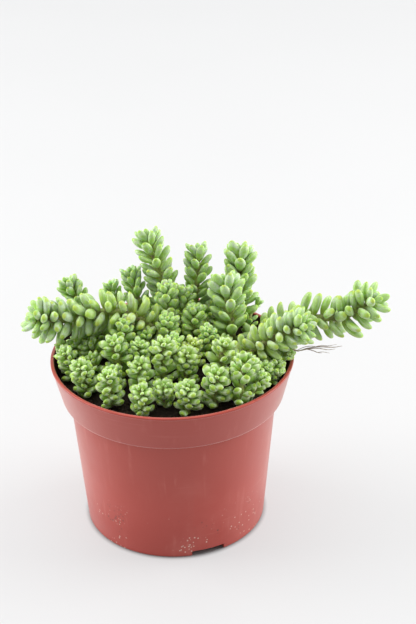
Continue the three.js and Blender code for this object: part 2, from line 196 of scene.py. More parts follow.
class SoilSettings(bpy.types.PropertyGroup):
    """Sizes and colours of the soil"""

    edge: FloatProperty(
        name="Edge height", description="Height of the soil at the wall", default=0.081, **LENGTH)
    crown: FloatProperty(
        name="Crown", description="How far the soil rises to the middle", default=0.005, **LENGTH)
    crumbs: IntProperty(
        name="Crumbs", description="How many loose crumbs lie on the soil", default=900, **COUNT)
    peat: FloatVectorProperty(
        name="Peat", description="Colour of the damp peat", default=(0.022, 0.014, 0.009), **COLOUR)
    fibre: FloatVectorProperty(
        name="Fibre", description="Colour of dry bits in the peat", default=(0.10, 0.062, 0.036), **COLOUR)


class LeafSettings(bpy.types.PropertyGroup):
    """Shape and colours of the leaves"""

    sides: IntProperty(name="Sides", description="How many faces go round a leaf", default=12, **COUNT)
    # Deep and light green are mixed by each leaf's tone and shade, so the deep end is partly painted shade.
    deep: FloatVectorProperty(
        name="Deep green", description="Colour of dark leaves", default=(0.212, 0.420, 0.022), **COLOUR)
    light: FloatVectorProperty(
        name="Light green", description="Colour of pale leaves", default=(0.340, 0.556, 0.092), **COLOUR)
    yellow: FloatVectorProperty(
        name="Yellow green", description="Colour of old leaves", default=(0.530, 0.610, 0.080), **COLOUR)
    bloom: FloatVectorProperty(
        name="Bloom", description="Colour of the waxy bloom", default=(0.505, 0.598, 0.462), **COLOUR)
    stalk: FloatVectorProperty(
        name="Stalk", description="Colour of the stems", default=(0.300, 0.370, 0.080), **COLOUR)
    dry: FloatVectorProperty(
        name="Dry root", description="Colour of the dry rootlet", default=(0.230, 0.170, 0.140), **COLOUR)


class StageSettings(bpy.types.PropertyGroup):
    """The floor, the light and the camera"""

    floor: FloatVectorProperty(
        name="Floor", description="Colour of the floor", default=(0.27, 0.268, 0.266), **COLOUR)
    front: FloatProperty(
        name="Front room", description="Strength of the light from the front", default=0.60, **STRENGTH)
    glow: FloatProperty(
        name="Glow", description="Light that the lit table gives by itself", default=0.475, **STRENGTH)
    back: FloatProperty(
        name="Back room", description="Strength of the light from behind", default=0.96, **STRENGTH)
    top: FloatProperty(name="Top light", description="Power of the light overhead", default=11.5, **POWER)
    left: FloatProperty(name="Left light", description="Power of the left light", default=11.5, **POWER)
    right: FloatProperty(name="Right light", description="Power of the right light", default=12.5, **POWER)
    lens: FloatProperty(
        name="Lens", description="Focal length of the camera", default=100.0, unit="CAMERA", min=10, max=400)


# ---- Small helpers -----------------------------------------------------------------------------------

class Draws:
    """The same even draws on every run."""

    def __init__(self, seed):
        self.state = seed * 7919 + 17

    def __call__(self, low=0.0, high=1.0):
        self.state = self.state * 16807 % 2147483647
        return low + (high - low) * self.state / 2147483647


def between(low, high, share):
    return low + (high - low) * share


def easing(count, full):
    """From 0, near 1 once count is a few times full."""
    return 1 - exp(-count / full)


def turned(a, b, angle):
    """Two axes square to each other, with the first turned towards the second by an angle."""
    return a * cos(angle) + b * sin(angle), b * cos(angle) - a * sin(angle)


def linked(name, data):
    """A new object in the scene."""
    thing = bpy.data.objects.new(name, data)
    bpy.context.scene.collection.objects.link(thing)
    return thing


def mesh_of(name, form):
    """A mesh with a bmesh's faces; the bmesh itself is let go."""
    mesh = bpy.data.meshes.new(name)
    form.to_mesh(mesh)
    form.free()
    return mesh


def turns(sides):
    return [2 * pi * j / sides for j in range(sides)]


def ring_faces(rings, sides):
    """Faces of a closed shell whose points are a first one, then rings of points, then a last one."""
    last = 1 + (rings - 1) * sides
    around = [(j, (j + 1) % sides) for j in range(sides)]
    faces = [(0, 1 + k, 1 + j) for j, k in around]
    for low in range(1, last, sides):
        faces += [(low + j, low + k, low + sides + k, low + sides + j) for j, k in around]
    return faces + [(last + sides, last + j, last + k) for j, k in around]


def place(name, mesh, materials, slot, replaced):
    """Makes a piece of the object from a mesh, in the place of one node of the frame."""
    for material in materials:
        mesh.materials.append(material)
    piece = linked(name, mesh)
    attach(piece, "root")
    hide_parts(replaced)
    return piece


class Shells:
    """Collects closed shells, with a value per point under each name, and makes one mesh of them."""

    def __init__(self, names=()):
        self.points, self.faces, self.finishes, self.count = [], [], [], 0
        self.values = {name: [] for name in names}

    def add(self, points, faces, finish=0, **values):
        points = np.asarray(points, float)
        self.points.append(points)
        self.faces.extend(tuple(self.count + i for i in face) for face in faces)
        self.finishes.extend([finish] * len(faces))
        for name, kept in self.values.items():
            kept.append(np.broadcast_to(np.asarray(values.get(name, 0.0), float), (len(points),)))
        self.count += len(points)

    def mesh(self, name):
        mesh = bpy.data.meshes.new(name)
        mesh.from_pydata(np.concatenate(self.points).tolist(), [], self.faces)
        mesh.polygons.foreach_set("material_index", self.finishes)
        mesh.polygons.foreach_set("use_smooth", [True] * len(self.faces))
        for value, kept in self.values.items():
            layer = mesh.attributes.new(value, "FLOAT", "POINT")
            layer.data.foreach_set("value", np.concatenate(kept).astype(np.float32))
        mesh.validate()
        mesh.update()
        return mesh


class Shader:
    """A procedural material in the making."""

    def __init__(self, name):
        self.material = bpy.data.materials.new(name)
        self.material.use_nodes = True
        self.nodes, self.links = self.material.node_tree.nodes, self.material.node_tree.links
        self.surface = self.nodes["Principled BSDF"]

    def add(self, kind, inputs=None, **settings):
        node = self.nodes.new(kind)
        for key, value in settings.items():
            setattr(node, key, value)
        for key, value in (inputs or {}).items():
            if isinstance(value, bpy.types.NodeSocket):
                self.links.new(value, node.inputs[key])
            else:
                node.inputs[key].default_value = value
        return node

    def value(self, name):
        """A value that the mesh holds per point."""
        return self.add("ShaderNodeAttribute", attribute_name=name).outputs["Fac"]

    def coordinates(self):
        return self.add("ShaderNodeTexCoord").outputs["Object"]

    def noise(self, scale, detail, rough, where=None):
        node = self.add("ShaderNodeTexNoise", {"Scale": scale, "Detail": detail, "Roughness": rough,
                                               "Vector": where or self.coordinates()})
        return node.outputs["Fac"]

    def ranged(self, value, low, high, to_low=0.0, to_high=1.0):
        inputs = {"Value": value, "From Min": low, "From Max": high, "To Min": to_low, "To Max": to_high}
        return self.add("ShaderNodeMapRange", inputs, interpolation_type="SMOOTHSTEP").outputs["Result"]

    def times(self, a, b):
        return self.add("ShaderNodeMath", {0: a, 1: b}, operation="MULTIPLY").outputs[0]

    def mixed(self, a, b, share):
        """Colour a with a share of colour b."""
        a, b = (c if isinstance(c, bpy.types.NodeSocket) else (*c, 1.0) for c in (a, b))
        return self.add("ShaderNodeMix", {0: share, 6: a, 7: b}, data_type="RGBA").outputs[2]

    def layered(self, color, *layers):
        """A colour with others laid over it, each by its share."""
        for tint, share in layers:
            color = self.mixed(color, tint, share)
        return color

    def bump(self, height, distance, strength):
        node = self.add("ShaderNodeBump", {"Height": height, "Distance": distance, "Strength": strength})
        self.links.new(node.outputs["Normal"], self.surface.inputs["Normal"])

    def set(self, **sockets):
        for key, value in sockets.items():
            socket = self.surface.inputs[key.replace("_", " ")]
            if isinstance(value, bpy.types.NodeSocket):
                self.links.new(value, socket)
            else:
                socket.default_value = value


# ---- Materials ---------------------------------------------------------------------------------------

# Painted light: the rim's top face, turned up to the light, is painted a brighter red.
LIT_LIP_RED = (0.43, 0.048, 0.028)
# A darker red for a tone that differs at random, and for the painted shade at the foot and on the collar.
DEEP_RED = (0.30, 0.032, 0.020)
# Painted reflection: the lower half of the pot is painted a fuller red for the light the table throws up on it.
TABLE_REFLECTION_RED = (0.45, 0.046, 0.030)
SHEEN_RED = (1.0, 0.86, 0.82, 1.0)
PALE_SPECK = (0.66, 0.50, 0.42)
SOIL_FLECK = (0.07, 0.03, 0.022)
DRY_CRUMB = (0.22, 0.17, 0.12)
STALK_STREAK = (0.12, 0.09, 0.045)
ROOT_STREAK = (0.50, 0.42, 0.33)
COOL_WHITE = (0.98, 0.99, 1.0, 1.0)


def pot_plastic(settings):
    """Matt terracotta-coloured plastic with drawn streaks, scuffs, pale mineral specks, flecks of soil and
    painted light and shade.
    """
    s = Shader("pot_plastic")
    where = s.coordinates()
    height = s.add("ShaderNodeSeparateXYZ", {"Vector": where}).outputs["Z"]
    upright = s.add("ShaderNodeMapping", {"Vector": where, "Scale": (1.0, 1.0, 0.06)}).outputs["Vector"]
    level = s.add("ShaderNodeMapping", {"Vector": where, "Scale": (0.05, 0.05, 1.0)}).outputs["Vector"]
    mottle = s.noise(38, 4, 0.6, where)
    streaks = s.times(s.ranged(s.noise(260, 3, 0.6, upright), 0.50, 0.72), s.ranged(mottle, 0.40, 0.70))
    scores = s.times(s.ranged(s.noise(620, 2, 0.5, level), 0.60, 0.74),
                     s.ranged(s.noise(21, 3, 0.5, where), 0.5, 0.7))
    rubbed = s.times(s.ranged(s.noise(9, 5, 0.62, where), 0.48, 0.78), s.ranged(mottle, 0.35, 0.75))
    # foot and collar are height masks of painted shade, darker near the floor and on the collar; they also
    # weaken and strengthen the sheen there.
    foot, collar, inside = s.ranged(height, 0.034, 0.006), s.ranged(height, 0.0690, 0.0705), s.value("inside")
    color = s.layered(
        settings.plastic,
        (DEEP_RED, s.ranged(s.noise(14, 4, 0.55, where), 0.35, 0.75, 0.0, 0.30)),
        # Painted reflection of the table on the lower half.
        (TABLE_REFLECTION_RED, s.ranged(height, 0.060, 0.008, 0.0, 0.60)),
        # Painted shade: the foot of the pot darker near the floor.
        (DEEP_RED, s.times(foot, 0.45)),
        (settings.scuff, s.times(rubbed, 0.50)),
        (settings.scuff, s.times(streaks, 0.42)),
        (settings.scuff, s.times(scores, 0.35)),
        # Painted shade: the collar darker where it slopes down away from the light.
        (DEEP_RED, s.times(collar, 0.30)),
        # Painted light on the rim's top face.
        (LIT_LIP_RED, s.times(s.value("lip"), s.ranged(mottle, 0.3, 0.7, 0.35, 0.75))),
    )
    low = s.ranged(height, 0.032, 0.010)
    for scale, reach, patch, share, tint in (
        (560.0, 0.30, 85, 0.57, PALE_SPECK),
        (330.0, 0.17, 40, 0.55, PALE_SPECK),
        (420.0, 0.30, 48, 0.57, SOIL_FLECK),
    ):
        spots = s.add("ShaderNodeTexVoronoi", {"Scale": scale, "Vector": where}).outputs["Distance"]
        strewn = s.times(s.ranged(s.noise(patch, 2, 0.5, where), share, share + 0.06), low)
        color = s.mixed(color, tint, s.times(s.times(s.ranged(spots, reach, 0.5 * reach), strewn), 0.75))
    # Painted shade: the inside is painted near-black, with soil on the wall and shade in the hollow together.
    color = s.mixed(color, settings.soil_and_shade, s.times(inside, s.ranged(mottle, 0.2, 0.6, 0.85, 1.0)))
    dusty = s.times(s.ranged(collar, 0.0, 1.0, 0.46, 0.64), s.ranged(foot, 0.0, 1.0, 1.0, 0.30))
    s.set(Base_Color=color, Roughness=s.ranged(mottle, 0.2, 0.8, 0.32, 0.48), IOR=1.5, Sheen_Roughness=0.35,
          Sheen_Tint=SHEEN_RED, Sheen_Weight=s.times(dusty, s.ranged(inside, 0.0, 1.0, 1.0, 0.0)))
    rough = s.add("ShaderNodeMath", {0: s.noise(900, 3, 0.6, where), 1: scores}, operation="ADD").outputs[0]
    s.bump(rough, 0.00003, 0.5)
    return s.material


def damp_peat(settings):
    s = Shader("damp_peat")
    grain = s.noise(420, 5, 0.65)
    color = s.layered(settings.peat, (settings.fibre, s.ranged(grain, 0.52, 0.78)),
                      (DRY_CRUMB, s.times(s.value("pale"), 0.8)))
    s.set(Base_Color=color, Roughness=0.92, Specular_IOR_Level=0.25)
    s.bump(grain, 0.0006, 0.8)
    return s.material


# Painted highlight: the pale margins and the pale ring round a leaf's end, where its edges catch the light,
# partly the pale wax of the bloom.
RIM_HIGHLIGHT = (0.63, 0.735, 0.47)
# Painted shade: the foot of every leaf, deep among the others, is painted olive for the shade there with light
# coming through the leaves.
ROOT_SHADE_OLIVE = (0.28, 0.36, 0.034)
# How a leaf is marked: how far its painted highlights come through on the pale margins and in the pale ring
# round its end, where that ring starts and ends, where the coloured dot at the tip starts, how far it comes
# through and its colour, how much light goes through the leaf, and how strong its sheen is.
LONG_MARKS = dict(margin=0.35, rim=0.20, ring=(0.82, 0.94), dot=0.950, tip=0.60, colour=(0.48, 0.52, 0.10),
                  through=0.75, sheen=0.12)
PLUMP_MARKS = dict(margin=0.50, rim=0.35, ring=(0.80, 0.92), dot=0.93, tip=0.75, colour=(0.38, 0.48, 0.08),
                   through=0.85, sheen=0.28)
HEAD_MARKS = dict(margin=0.90, rim=0.70, ring=(0.76, 0.90), dot=0.915, tip=0.85, colour=(0.36, 0.49, 0.05),
                  through=0.35, sheen=0.45)


def leaf_skin(name, settings, marks):
    """A plump waxy green leaf: frosty bloom, a tip of its own colour, painted shade and painted pale margins.
    """
    s = Shader(name)
    where = s.coordinates()
    patches = s.ranged(s.noise(330, 4, 0.6, where), 0.30, 0.72)
    frost = s.ranged(s.noise(1700, 2, 0.5, where), 0.35, 0.70, 0.55, 1.0)
    along, (start, end) = s.value("along"), marks["ring"]
    waxy = s.times(s.times(patches, frost), s.times(s.value("bloom"), s.ranged(along, 1.0, 0.90)))
    ring = s.times(s.ranged(along, start - 0.20, start + 0.06), s.ranged(along, end, end - 0.05))
    tip = s.times(s.ranged(along, marks["dot"] - 0.02, marks["dot"] + 0.02), s.value("tip"))
    color = s.layered(
        settings.deep,
        (settings.light, s.value("tone")),
        (settings.yellow, s.value("yellow")),
        (settings.bloom, waxy),
        # Painted shade at the leaf's foot.
        (ROOT_SHADE_OLIVE, s.ranged(along, 0.45, 0.05, 0.0, 0.75)),
        # Painted highlights on the margins and round the leaf's shoulder.
        (RIM_HIGHLIGHT, s.times(s.ranged(s.value("margin"), 0.60, 1.0), marks["margin"])),
        (RIM_HIGHLIGHT, s.times(ring, marks["rim"])),
        (marks["colour"], s.times(tip, marks["tip"])),
    )
    s.set(Base_Color=color, Roughness=s.ranged(patches, 0.0, 1.0, 0.42, 0.60), IOR=1.36, Subsurface_Scale=0.8,
          Subsurface_Weight=marks["through"], Subsurface_Radius=(0.0017, 0.0022, 0.0009),
          Sheen_Weight=marks["sheen"], Sheen_Roughness=0.30, Sheen_Tint=(0.97, 1.0, 0.86, 1.0))
    s.bump(s.noise(1900, 2, 0.5, where), 0.00003, 0.5)
    return s.material


def stalk_skin(settings):
    s = Shader("stalk_skin")
    streaks = s.noise(500, 4, 0.6)
    color = s.mixed(settings.stalk, STALK_STREAK, s.ranged(streaks, 0.4, 0.7))
    s.set(Base_Color=color, Roughness=0.6)
    s.bump(streaks, 0.0002, 0.6)
    return s.material


def dry_root(settings):
    s = Shader("dry_root")
    streaks = s.noise(700, 4, 0.7)
    color = s.mixed(settings.dry, ROOT_STREAK, s.ranged(streaks, 0.35, 0.7))
    s.set(Base_Color=color, Roughness=0.8)
    s.bump(streaks, 0.0001, 0.6)
    return s.material


def pale_floor(settings):
    """A pale lit table; it gives no light of its own under the pot, which paints a dark contact shadow at its
    foot.
    """
    s = Shader("pale_floor")
    where = s.coordinates()
    cloudy = s.ranged(s.noise(6, 3, 0.5, where), 0.3, 0.7)
    color = s.mixed(settings.floor, [0.985 * c for c in settings.floor], cloudy)
    # Painted shadow: the glow fades out at the pot's foot.
    away = s.add("ShaderNodeVectorMath", {0: where}, operation="LENGTH").outputs["Value"]
    s.set(Base_Color=color, Roughness=0.6, Specular_IOR_Level=0.2, Emission_Color=COOL_WHITE,
          Emission_Strength=s.ranged(away, 0.0435, 0.0475, 0.0, settings.glow))
    return s.material


def soft_room(settings):
    """A white room that is dimmer on the camera's side."""
    world = bpy.data.worlds.new("soft_room")
    world.use_nodes = True
    nodes, links = world.node_tree.nodes, world.node_tree.links
    towards = nodes.new("ShaderNodeSeparateXYZ")
    links.new(nodes.new("ShaderNodeTexCoord").outputs["Generated"], towards.inputs["Vector"])
    strength = nodes.new("ShaderNodeMapRange")
    strength.interpolation_type = "SMOOTHSTEP"
    reach = {"From Min": -0.85, "From Max": 0.45, "To Min": settings.front, "To Max": settings.back}
    for key, value in reach.items():
        strength.inputs[key].default_value = value
    links.new(towards.outputs["Y"], strength.inputs["Value"])
    links.new(strength.outputs["Result"], nodes["Background"].inputs["Strength"])
    nodes["Background"].inputs["Color"].default_value = COOL_WHITE
    return world


# ---- Pot and soil ------------------------------------------------------------------------------------

def rounded(corners, steps=5):
    """A profile of (radius, height, rounding) corners with each corner turned into a small arc."""
    profile = []
    for i, (x, z, rounding) in enumerate(corners):
        here = Vector((x, z))
        if not rounding or i in (0, len(corners) - 1):
            profile.append(here)
            continue
        back, ahead = (Vector(corners[j][:2]) - here for j in (i - 1, i + 1))
        reach = min(rounding, back.length * 0.49, ahead.length * 0.49)
        start, end = here + back.normalized() * reach, here + ahead.normalized() * reach
        for k in range(steps + 1):
            t = k / steps
            profile.append(start * (1 - t) ** 2 + here * 2 * t * (1 - t) + end * t ** 2)
    return profile


def lathe(profile, sides):
    """Points and faces of a profile that starts and ends on the axis, turned round Z."""
    low, *middle, high = profile
    rings = [(at.x * cos(turn), at.x * sin(turn), at.y) for at in middle for turn in turns(sides)]
    return [(0, 0, low.y), *rings, (0, 0, high.y)], ring_faces(len(middle), sides)


def cut(piece, cutters):
    """Cuts closed meshes out of a piece and applies the cuts."""
    for mesh in cutters:
        tool = linked(mesh.name, mesh)
        modifier = piece.modifiers.new(mesh.name, "BOOLEAN")
        modifier.object, modifier.operation, modifier.solver = tool, "DIFFERENCE", "EXACT"
        bpy.context.view_layer.update()
        evaluated = piece.evaluated_get(bpy.context.evaluated_depsgraph_get())
        old, piece.data = piece.data, bpy.data.meshes.new_from_object(evaluated)
        piece.modifiers.remove(modifier)
        bpy.data.meshes.remove(old)
        bpy.data.objects.remove(tool)


def notch_block(name, size, at, turn):
    form = bmesh.new()
    bmesh.ops.create_cube(form, size=1.0)
    bmesh.ops.bevel(form, geom=form.edges[:], offset=0.02, segments=2, affect="EDGES")
    form.transform(Matrix.Rotation(turn, 4, "Z") @ Matrix.Translation(at) @ Matrix.Diagonal((*size, 1)))
    return mesh_of(name, form)


def drain_plug(name, radius, height, at):
    form = bmesh.new()
    bmesh.ops.create_cone(form, cap_ends=True, segments=24, radius1=radius, radius2=radius, depth=height,
                          matrix=Matrix.Translation(at))
    return mesh_of(name, form)


SOIL_REACH = 0.0563


def soil_height(x, y, settings):
    """Height of the soil in metres, before its lumps; its crown has run out at the reach."""
    share = min(1.0, hypot(x, y) / SOIL_REACH)
    return settings.edge + settings.crown * (1 - share * share)


def soil_lumps(x, y):
    here = Vector((x, y, 0))
    lumps = ((0.0011, 210), (0.0007, 480), (0.0004, 1100))
    return sum(high * noise.noise(here * fine) for high, fine in lumps)


# ---- Leafy stems -------------------------------------------------------------------------------------

class Route:
    """A centripetal Catmull-Rom curve through points in metres, read by the length along it."""

    def __init__(self, points, steps=24):
        points = [Vector(p) for p in points]
        ends = [2 * points[0] - points[1], *points, 2 * points[-1] - points[-2]]
        self.points = [points[0]]
        for a, b, c, d in zip(ends, ends[1:], ends[2:], ends[3:]):
            before, here, after = (max((q - p).length ** 0.5, 1e-4) for p, q in ((a, b), (b, c), (c, d)))
            leave = ((b - a) / before - (c - a) / (before + here) + (c - b) / here) * here
            arrive = ((c - b) / here - (d - b) / (here + after) + (d - c) / after) * here
            for k in range(1, steps + 1):
                t = k / steps
                self.points.append((2 * t**3 - 3 * t**2 + 1) * b + (t**3 - 2 * t**2 + t) * leave
                                   + (3 * t**2 - 2 * t**3) * c + (t**3 - t**2) * arrive)
        self.reached = np.concatenate(([0.0], np.cumsum([(q - p).length for p, q in
                                                          zip(self.points, self.points[1:])])))
        self.length = float(self.reached[-1])

    def at(self, distance):
        i = int(np.clip(np.searchsorted(self.reached, distance) - 1, 0, len(self.points) - 2))
        span = self.reached[i + 1] - self.reached[i]
        return self.points[i].lerp(self.points[i + 1], float((distance - self.reached[i]) / span))

    def axes(self, distance):
        """The point at a distance, and the stem's own axes there: along it, and two across it."""
        distance = min(max(distance, 0.0), self.length)
        step = 0.0004
        along = (self.at(min(distance + step, self.length)) - self.at(max(distance - step, 0.0))).normalized()
        across = (Vector((0, 1, 0)) - along * along.y).normalized()
        return self.at(distance), along, across.cross(along), across


class Room:
    """What already stands where, so that new leaves keep clear of other stems and of the pot."""

    CELL = 0.006

    def __init__(self):
        self.balls = {}

    def cell(self, at):
        return tuple(int(c // self.CELL) for c in at)

    def take(self, at, radius, owner):
        self.balls.setdefault(self.cell(at), []).append((at.copy(), radius, owner))

    def free(self, at, radius, owner, slack):
        i, j, k = self.cell(at)
        for di in (-1, 0, 1):
            for dj in (-1, 0, 1):
                for dk in (-1, 0, 1):
                    for other, wide, whose in self.balls.get((i + di, j + dj, k + dk), ()):
                        if whose != owner and (other - at).length < wide + radius - slack:
                            return False
        return True


ROOM = Room()
LIGHT_FROM = Vector((0, 0.9, 0.4))
GAP = 0.2 * MM
OVERLAP = 0.35 * MM
# The balls that a leaf is taken for: how far from its root, as a share of its length, and the radius as a
# share of its width.
LEAF_BALLS = ((0.45, 0.40), (0.68, 0.46), (0.88, 0.34))
# By this leaf from the tip the form is no longer the young one.
GROWN_LEAF = 12


def clear_of_pot(at, radius, scene):
    """True if a ball lies over the soil and inside or outside the pot's wall, or over its rim."""
    pot, soil = scene.pot_settings, scene.soil_settings
    if at.z - radius < soil_height(at.x, at.y, soil) + GAP:
        return False
    if at.z - radius > pot.height + GAP:
        return True
    outward = hypot(at.x, at.y)
    share = (min(at.z, pot.height) - pot.ledge_height) / (pot.height - pot.ledge_height)
    inner = between(pot.collar_foot_radius, pot.rim_radius - 1.2 * MM, max(0.0, share)) - pot.wall
    return outward + radius < inner or outward - radius > pot.rim_radius + GAP


# How thick a leaf is over and under its middle as a share of its width, how far its margins are drawn out to
# an edge, and its outline: how far from its root, and its half width there as a share of the fullest. The
# young leaves of a head are pointed instead of blunt.
LONG_LEAF = dict(upper=0.31, lower=0.39, edge=0.12, profile=[
    (0.0, 0.30), (0.07, 0.40), (0.18, 0.58), (0.32, 0.79), (0.46, 0.94), (0.60, 1.0), (0.72, 0.97),
    (0.82, 0.85), (0.90, 0.65), (0.95, 0.45), (0.982, 0.26), (0.996, 0.11)])
BLUNT_LEAF = dict(upper=0.34, lower=0.42, edge=0.15, profile=[
    (0.0, 0.32), (0.07, 0.46), (0.18, 0.68), (0.32, 0.87), (0.46, 0.97), (0.60, 1.0), (0.72, 0.97),
    (0.82, 0.88), (0.90, 0.72), (0.95, 0.54), (0.98, 0.36), (0.995, 0.18)])
KNOB_LEAF = dict(upper=0.31, lower=0.41, edge=0.36, profile=[
    (0.0, 0.34), (0.10, 0.50), (0.24, 0.71), (0.40, 0.89), (0.54, 0.98), (0.65, 1.0), (0.75, 0.96),
    (0.83, 0.87), (0.90, 0.71), (0.945, 0.52), (0.978, 0.30), (0.994, 0.13)], young=[
    (0.0, 0.40), (0.10, 0.58), (0.22, 0.78), (0.36, 0.94), (0.47, 1.0), (0.57, 0.97), (0.67, 0.87),
    (0.76, 0.71), (0.85, 0.50), (0.92, 0.31), (0.965, 0.17), (0.992, 0.07)])


def leaf_form(shape, outline, sides):
    """One leaf of unit length and width: its points, its faces, and how far along each point lies, how near
    the margin, and how far up."""
    rows = [(0, 0, -0.02, 0, 0, 0)]
    for share, radius in outline:
        for turn in turns(sides):
            across, up = cos(turn), sin(turn)
            thick = shape["upper"] if up > 0 else shape["lower"]
            rows.append((0.5 * radius * across, thick * radius * up * abs(up) ** shape["edge"], share,
                         share, abs(across) ** 4 * min(1.0, share * 2.2), up))
    rows = np.array([*rows, (0, 0, 1, 1, 0, 0)], float)
    return rows[:, :3], ring_faces(len(outline), sides), *rows[:, 3:].T


# The habit of each kind of stem. Over how many leaves from the tip crowding, rising and shrinking wear off,
# and the tip leaf's share of full size. How much a leaf bends towards the tip as a share of its length, how
# unruly the leaves are, the share of the oldest that have dropped off, how much larger the oldest are, and
# how far all reach for the light. How light the youngest and the oldest are painted, the oldest darker as
# painted shade low on the stem, how yellow the oldest, and how thick the bloom.
TRAILING_HABIT = dict(crowded=13.0, upright=2.8, small=4.2, least=0.32, bend=0.20, wild=1.2, lost=0.0,
                      skirt=0.0, reach=0.0, tones=(0.72, 0.40), form=BLUNT_LEAF, droop=8)
TALL_HABIT = dict(crowded=9.0, upright=1.6, small=3.2, least=0.30, bend=0.05, wild=1.0, lost=0.0, skirt=0.0,
                  reach=0.30, tones=(0.85, 0.68), yellow=0.1, bloom=1.2, form=LONG_LEAF)
# Where only the rosette is given: a leaf's length, its width and the leaves' spacing, each as millimetres and
# a share of half the rosette's width; the stem's radius as such a share; how many millimetres of its foot are
# bare, and how many are leafy at most.
SHORT_HABIT = dict(TALL_HABIT, tones=(0.42, 0.15), bloom=1.1, lean=52, droop=18, stem=0.20, bare=3, most=100,
                   long=(0, 1.16), wide=(0, 0.58), apart=(0.80, 0))
PLUMP_HABIT = dict(crowded=7.0, upright=1.5, small=3.4, least=0.36, bend=0.06, wild=1.2, lost=0.0, skirt=0.0,
                   reach=0.12, tones=(1.0, 0.75), bloom=0.70, form=BLUNT_LEAF, lean=52, droop=22, stem=0.22,
                   bare=0.5, most=100, long=(0, 1.12), wide=(0, 0.66), apart=(0.20, 0.085))
HEAD_HABIT = dict(crowded=5.5, upright=1.3, small=4.2, least=0.38, bend=0.08, wild=1.6, lost=0.14, skirt=0.10,
                  reach=0.06, tones=(0.85, 0.20), yellow=0.0, bloom=0.24, form=KNOB_LEAF, lean=60, droop=16,
                  stem=0.22, bare=0.5, most=25, long=(2.3, 0.64), wide=(1.65, 0.325), apart=(0.28, 0.057))


def stem_plan(plan, habit):
    """A long stem in metres, as the rule of growth reads it."""
    plan = {**habit, **plan}
    route = Route([Vector(p) * MM for p in plan["route"]])
    length, width = plan["leaf"]
    return dict(plan, route=route, length=length * MM, width=width * MM, spacing=plan["spacing"] * MM,
                stem=plan["stem"] * MM, leafy=route.length - plan["bare"] * MM)


def route_from_soil(plan, scene):
    """The route of a stem that is given by its top alone, and half its width."""
    x, y, z = (c * MM for c in plan["top"])
    foot = [c * MM for c in plan["foot"]] if "foot" in plan else [0.94 * x, 0.94 * y]
    ground = soil_height(*foot, scene.soil_settings)
    draw = Draws(round(7 * plan["top"][0] + 11 * plan["top"][1] + 900))
    tilt_x, tilt_y = (draw(-1.6, 1.6) * MM - 0.03 * c for c in (x, y))
    middle = (between(foot[0], x, 0.3) + tilt_x, between(foot[1], y, 0.3) + tilt_y, between(ground, z, 0.55))
    return Route([(*foot, ground - 2 * MM), middle, (x, y, z)]), plan["width"] / 2 * MM


def shoot_plan(plan, name, route, half, side=()):
    """One shoot in metres, as the rule of growth reads it, worked out from half the width of its rosette."""
    length, width, spacing = (plan[key][0] * MM + plan[key][1] * half for key in ("long", "wide", "apart"))
    return dict(plan, name=name, route=route, side=side, length=length, width=width, spacing=spacing,
                stem=plan["stem"] * half, leafy=min(plan["most"] * MM, route.length - plan["bare"] * MM))


def rosette_plan(plan, habit, scene):
    """A short stem or a head in metres, with the side shoots of its own habit."""
    plan = {**habit, **plan}
    route, half = route_from_soil(plan, scene)
    side = []
    for i, (*top, width) in enumerate(plan.get("side", ())):
        foot, tip = route.at(0.22 * route.length), Vector(top) * MM
        middle = [between(foot[axis], tip[axis], share) for axis, share in enumerate((0.6, 0.6, 0.4))]
        side.append(shoot_plan(plan, f'{plan["name"]}_side_{i}', Route([foot, middle, tip]), width / 2 * MM))
    return shoot_plan(plan, plan["name"], route, half, side)


def stem_tube(plan, sides=10):
    """Points and faces of the round stem itself, narrowing to its tip."""
    route, steps = plan["route"], max(6, int(plan["route"].length / (1.5 * MM)))
    points = [tuple(route.at(0))]
    for i in range(steps + 1):
        share = i / steps
        radius = plan["stem"] * between(1, 0.35, max(0.0, share - 0.75) / 0.25)
        middle, _, side, across = route.axes(share * route.length)
        points += [tuple(middle + turned(side, across, turn)[0] * radius) for turn in turns(sides)]
    points.append(tuple(route.at(route.length)))
    return points, ring_faces(steps + 1, sides)


def find_place(plan, distance, turn, lean, length, width, scene):
    """Root, direction and size of one leaf; where it would cross a neighbour it is bent up or shortened."""
    middle, along, side, across = plan["route"].axes(distance)
    outward = turned(side, across, turn)[0]
    for shorter in (1.0, 0.85, 0.7):
        for steeper in (1.0, 0.8, 0.6, 0.45):
            angle = lean * steeper
            direction = (turned(along, outward, angle)[0] + plan["reach"] * LIGHT_FROM).normalized()
            root = middle + outward * plan["stem"] * 0.7 * sin(angle) - along * 0.4 * MM
            balls = [(root + direction * length * shorter * share, width * sqrt(shorter) * wide)
                     for share, wide in LEAF_BALLS]
            if all(clear_of_pot(at, radius, scene) and ROOM.free(at, radius, plan["name"], OVERLAP)
                   for at, radius in balls):
                for at, radius in balls:
                    ROOM.take(at, radius, plan["name"])
                return root, direction, along, length * shorter, width * sqrt(shorter)
    return None


